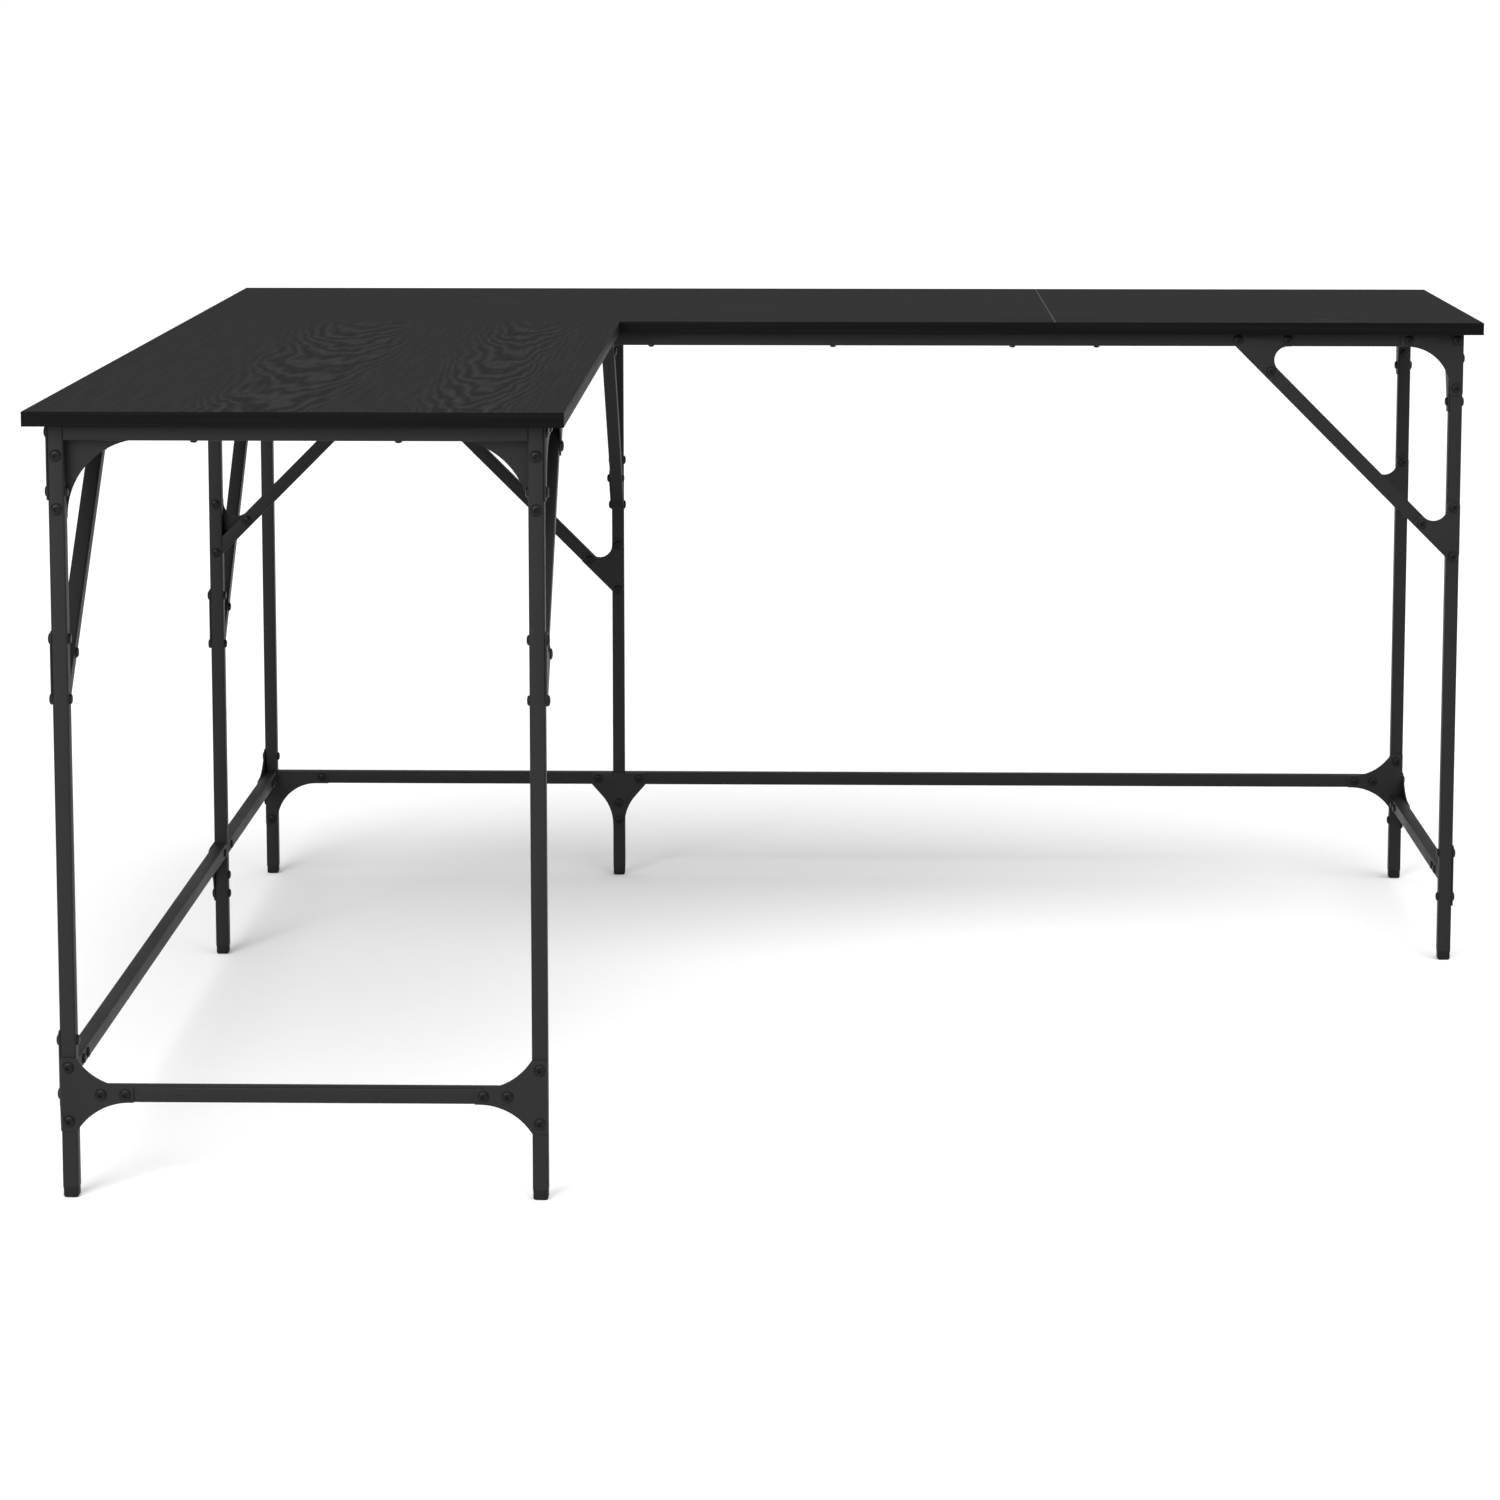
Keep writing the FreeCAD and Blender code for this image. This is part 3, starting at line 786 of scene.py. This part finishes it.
def islands(node):
    """Points of each separate solid of a CAD node, in millimetres."""
    bm = bmesh.new()
    bm.from_mesh(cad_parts[node].data)
    bmesh.ops.remove_doubles(bm, verts=bm.verts, dist=WELD)
    seen = set()
    found = []
    for vert in bm.verts:
        if vert in seen:
            continue
        stack, group = [vert], []
        seen.add(vert)
        while stack:
            v = stack.pop()
            group.append(v.co / MM)
            for edge in v.link_edges:
                other = edge.other_vert(v)
                if other not in seen:
                    seen.add(other)
                    stack.append(other)
        found.append(group)
    bm.free()
    return found


def span(points):
    """Lowest and highest corner of the box round some points."""
    low = Vector([min(p[i] for p in points) for i in range(3)])
    high = Vector([max(p[i] for p in points) for i in range(3)])
    return low, high


def add_ring_shape(bm, profile, place, steps=24, hexes=()):
    """Lathe (radius, height) points about +Z; rings listed in hexes are hexagons across flats."""
    rings = []
    for k, (radius, height) in enumerate(profile):
        ring = []
        for i in range(steps):
            angle = 2 * math.pi * i / steps
            r = radius
            if k in hexes:
                part = (angle % (math.pi / 3)) - math.pi / 6
                r = radius / math.cos(part)
            ring.append(place @ Vector((r * math.cos(angle), r * math.sin(angle), height)))
        rings.append(ring)
    loft(bm, rings)


def facing(direction, origin, turn=0.0):
    """Placement whose +Z is direction."""
    spin = Matrix.Rotation(turn, 4, "Z")
    return Matrix.Translation(origin) @ direction.to_track_quat("Z", "Y").to_matrix().to_4x4() @ spin


def make_bolts():
    bm = bmesh.new()
    for points in islands("frame_bolts"):
        low, high = span(points)
        size = high - low
        axis = max(range(3), key=lambda i: abs(size[i] - 2 * HEAD_R))
        centre = (low + high) / 2

        def width(at):
            return max((Vector([p[i] - centre[i] for i in range(3) if i != axis])).length
                       for p in points if abs(p[axis] - at) < 0.2)

        direction = Vector((0, 0, 0))
        # the shank's end is the narrow one
        shank = SHANK_R + 0.05
        direction[axis] = 1 if width(high[axis]) > shank or width(low[axis]) < shank else -1
        top = high[axis] if direction[axis] > 0 else low[axis]
        base = centre.copy()
        base[axis] = top - direction[axis] * HEAD_HEIGHT
        length = size[axis] - HEAD_HEIGHT
        place = facing(direction, base, random.uniform(0, math.pi / 3))
        dome = [(HEAD_R, 0.0), (HEAD_R, HEAD_RIM)]
        for k in range(1, 7):
            angle = math.radians(12 + 62 * k / 6)
            lift = (HEAD_HEIGHT - HEAD_RIM) * math.sin(angle) / DOME_SINE
            dome.append((HEAD_R * math.cos(angle) ** 0.75, HEAD_RIM + lift))
        socket = [(SOCKET + 0.32, HEAD_HEIGHT - 0.05), (SOCKET, HEAD_HEIGHT - 0.35),
                  (SOCKET, HEAD_HEIGHT - 2.0)]
        profile = [(SHANK_R - 0.4, -length), (SHANK_R, -length + 0.5), (SHANK_R, 0.0)] + dome + socket
        count = len(profile)
        add_ring_shape(bm, profile, place, hexes=(count - 2, count - 1))
    finish_piece("button_head_bolts", bm, ["bolt"], ["frame_bolts"], 38)


def make_nuts():
    bm = bmesh.new()
    for points in islands("frame_nuts"):
        low, high = span(points)
        size = high - low
        axis = min(range(3), key=lambda i: size[i])
        centre = (low + high) / 2
        lower = max((p - centre).length for p in points if p[axis] - low[axis] < 0.2)
        upper = max((p - centre).length for p in points if high[axis] - p[axis] < 0.2)
        direction = Vector((0, 0, 0))
        direction[axis] = 1 if lower > upper else -1
        base = centre - direction * (NUT_HEIGHT / 2)
        place = facing(direction, base, random.uniform(0, math.pi / 3))
        profile = [(SHANK_R + 0.02, 0.0), (NUT_R - 0.1, 0.0), (NUT_R, 0.15), (NUT_R, NUT_RIM)]
        for k in range(1, 7):
            angle = math.radians(80 * k / 6)
            lift = (NUT_HEIGHT - NUT_RIM) * math.sin(angle) / math.sin(math.radians(80))
            profile.append((NUT_R * math.cos(angle) ** 0.7, NUT_RIM + lift))
        add_ring_shape(bm, profile, place)
    finish_piece("dome_nuts", bm, ["bolt"], ["frame_nuts"], 38)


def make_screws():
    bm = bmesh.new()
    for points in islands("top_screws"):
        low, high = span(points)
        centre = (low + high) / 2
        place = facing(Vector((0, 0, -1)), Vector((centre.x, centre.y, RAIL_Z)), random.uniform(0, 3))
        up = high.z - RAIL_Z
        profile = [(0.4, -up), (1.7, -up + 3.5), (1.7, -0.1), (3.55, 0.0), (3.6, 0.5), (3.3, 1.4),
                   (2.6, 2.1), (1.7, 2.4), (1.3, 2.3), (0.5, 1.2)]
        add_ring_shape(bm, profile, place, steps=16)
    finish_piece("pan_head_screws", bm, ["bolt"], ["top_screws"], 38)


def make_feet():
    bm = bmesh.new()
    layers = [(0.0, 5.3, 1.5), (0.35, 6.1, 1.9), (1.0, 6.75, 2.2), (1.9, 7.1, 2.4), (3.0, 7.2, 2.5),
              (9.2, 7.2, 2.5), (9.7, 7.08, 2.4), (9.95, 6.8, 2.2)]
    for _, x, y in LEGS.values():
        rings = []
        for z, half, corner in layers:
            rings.append([(x + px, y + py, z) for px, py in square_ring(half, corner)])
        loft(bm, rings)
    finish_piece("moulded_feet", bm, ["foot"], ["foot_caps"], 50)


# ---------------------------------------------------------------- top

BOARD_EASE = 0.12
STRIP_EASE = 0.6


def drop(edge):
    """Difference in height of an edge's two ends."""
    return abs(edge.verts[0].co.z - edge.verts[1].co.z)


def make_panel(node, wood):
    """Board with a thin strip on each edge, the strip's outer edges eased."""
    low, high = (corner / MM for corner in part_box(node))
    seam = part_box("panel_right")[0].x / MM
    inner_low = low + Vector((BAND, BAND, 0))
    inner_high = high - Vector((BAND, BAND, 0))
    bm = bmesh.new()
    box_mesh(bm, inner_low, inner_high)
    level = [e for e in bm.edges if drop(e) < SAME]
    bevel_edges(bm, level, BOARD_EASE, 1)
    finish_piece("board_" + node, bm, [wood], [node])
    bm = bmesh.new()
    for axis in (0, 1):
        for outward in (-1, 1):
            part = bmesh.new()
            a, b = low.copy(), high.copy()
            if outward < 0:
                b[axis] = low[axis] + BAND
            else:
                a[axis] = high[axis] - BAND
            if axis == 0:
                a.y += BAND
                b.y -= BAND
            box_mesh(part, a, b)
            face_at = low[axis] if outward < 0 else high[axis]
            around = [e for e in part.edges if all(abs(v.co[axis] - face_at) < SAME for v in e.verts)]
            outer = [e for e in around if drop(e) < SAME]
            if axis == 1:
                outer += [e for e in around if drop(e) > 1]
            bevel_edges(part, outer, STRIP_EASE, 3)
            for face in part.faces:
                face.material_index = 1 - axis
                # strips at the seam take the lighter strip colour, a painted highlight
                if axis == 0 and abs(face_at - seam) < 0.1:
                    face.material_index = 2
            join(bm, part)
    finish_piece("edge_strips_" + node, bm, ["band_x", "band_y", "band_seam_highlight"], [node])


make_tubes()
make_braces()
make_corner_plates()
make_bolts()
make_nuts()
make_screws()
make_feet()
make_panel("panel_front_left", "top_left")
make_panel("panel_back", "top_back")
make_panel("panel_right", "top_right")
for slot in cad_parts["seam_dowels"].material_slots:
    slot.material = MAT["wood"]


# ---------------------------------------------------------------- studio

# Metres, watts and degrees
FLOOR_HALF = 60.0
FLOOR_DROP = 0.0002
SKY_SEEN = 1.0
SKY_LIGHT = 0.55
SUN_FROM = (0.5, -2.2, 3.2)
SUN_POWER = 2.5
SUN_SPREAD = 70
LIGHT_AIM = (-0.3, 0, 0.5)
EYE = (0.00624, -4.5894, 1.15968)
LENS = 101.343
TILT_DOWN = 7.3944
TURN_LEFT = 1.2021
DOWN_SHIFT = -0.16


def make_floor():
    bm = bmesh.new()
    size = FLOOR_HALF
    corners = [bm.verts.new((x * size, y * size, 0)) for x, y in ((-1, -1), (1, -1), (1, 1), (-1, 1))]
    bm.faces.new(corners)
    mesh = bpy.data.meshes.new("studio_floor")
    bm.to_mesh(mesh)
    bm.free()
    mesh.materials.append(MAT["floor"])
    floor = bpy.data.objects.new("studio_floor", mesh)
    floor.location.z = -FLOOR_DROP
    bpy.context.scene.collection.objects.link(floor)


def aim_at(item, place, target):
    """Turn a light at place so that it shines at target."""
    item.rotation_euler = (Vector(target) - Vector(place)).to_track_quat("-Z", "Y").to_euler()


def area_light(name, place, size, power):
    data = bpy.data.lights.new(name, "AREA")
    data.shape = "SQUARE"
    data.size = size
    data.energy = power
    light = bpy.data.objects.new(name, data)
    light.location = place
    aim_at(light, place, LIGHT_AIM)
    bpy.context.scene.collection.objects.link(light)


def make_lights():
    world = bpy.data.worlds.new("studio")
    bpy.context.scene.world = world
    world.use_nodes = True
    sky = world.node_tree.nodes["Background"]
    sky.inputs["Color"].default_value = (1, 1, 1, 1)
    # the backdrop is seen white; the light it gives is softer
    path = world.node_tree.nodes.new("ShaderNodeLightPath")
    level = world.node_tree.nodes.new("ShaderNodeMapRange")
    level.inputs["To Min"].default_value = SKY_LIGHT
    level.inputs["To Max"].default_value = SKY_SEEN
    world.node_tree.links.new(path.outputs["Is Camera Ray"], level.inputs["Value"])
    world.node_tree.links.new(level.outputs["Result"], sky.inputs["Strength"])
    sun = bpy.data.lights.new("soft_key", "SUN")
    sun.energy = SUN_POWER
    sun.angle = math.radians(SUN_SPREAD)
    key = bpy.data.objects.new("soft_key", sun)
    aim_at(key, SUN_FROM, (0, 0, 0))
    bpy.context.scene.collection.objects.link(key)
    area_light("right_side", (4.4, 0.5, 1.6), 2.4, 32)
    area_light("front_left", (-2.0, -3.8, 2.1), 2.0, 100)
    view = bpy.context.scene.view_settings
    view.view_transform = "Standard"
    view.look = "None"
    view.exposure = 0.0
    view.gamma = 1.0


def make_camera():
    """Eye a little above the top, nearly square to the front, with a long lens and a small shift."""
    data = bpy.data.cameras.new("camera")
    data.sensor_width = 36.0
    data.sensor_fit = "HORIZONTAL"
    data.lens = LENS
    data.shift_y = DOWN_SHIFT
    data.clip_end = 200.0
    camera = bpy.data.objects.new("camera", data)
    camera.location = EYE
    camera.rotation_euler = (math.radians(90 - TILT_DOWN), 0, math.radians(TURN_LEFT))
    bpy.context.scene.collection.objects.link(camera)
    bpy.context.scene.camera = camera


make_floor()
make_lights()
make_camera()
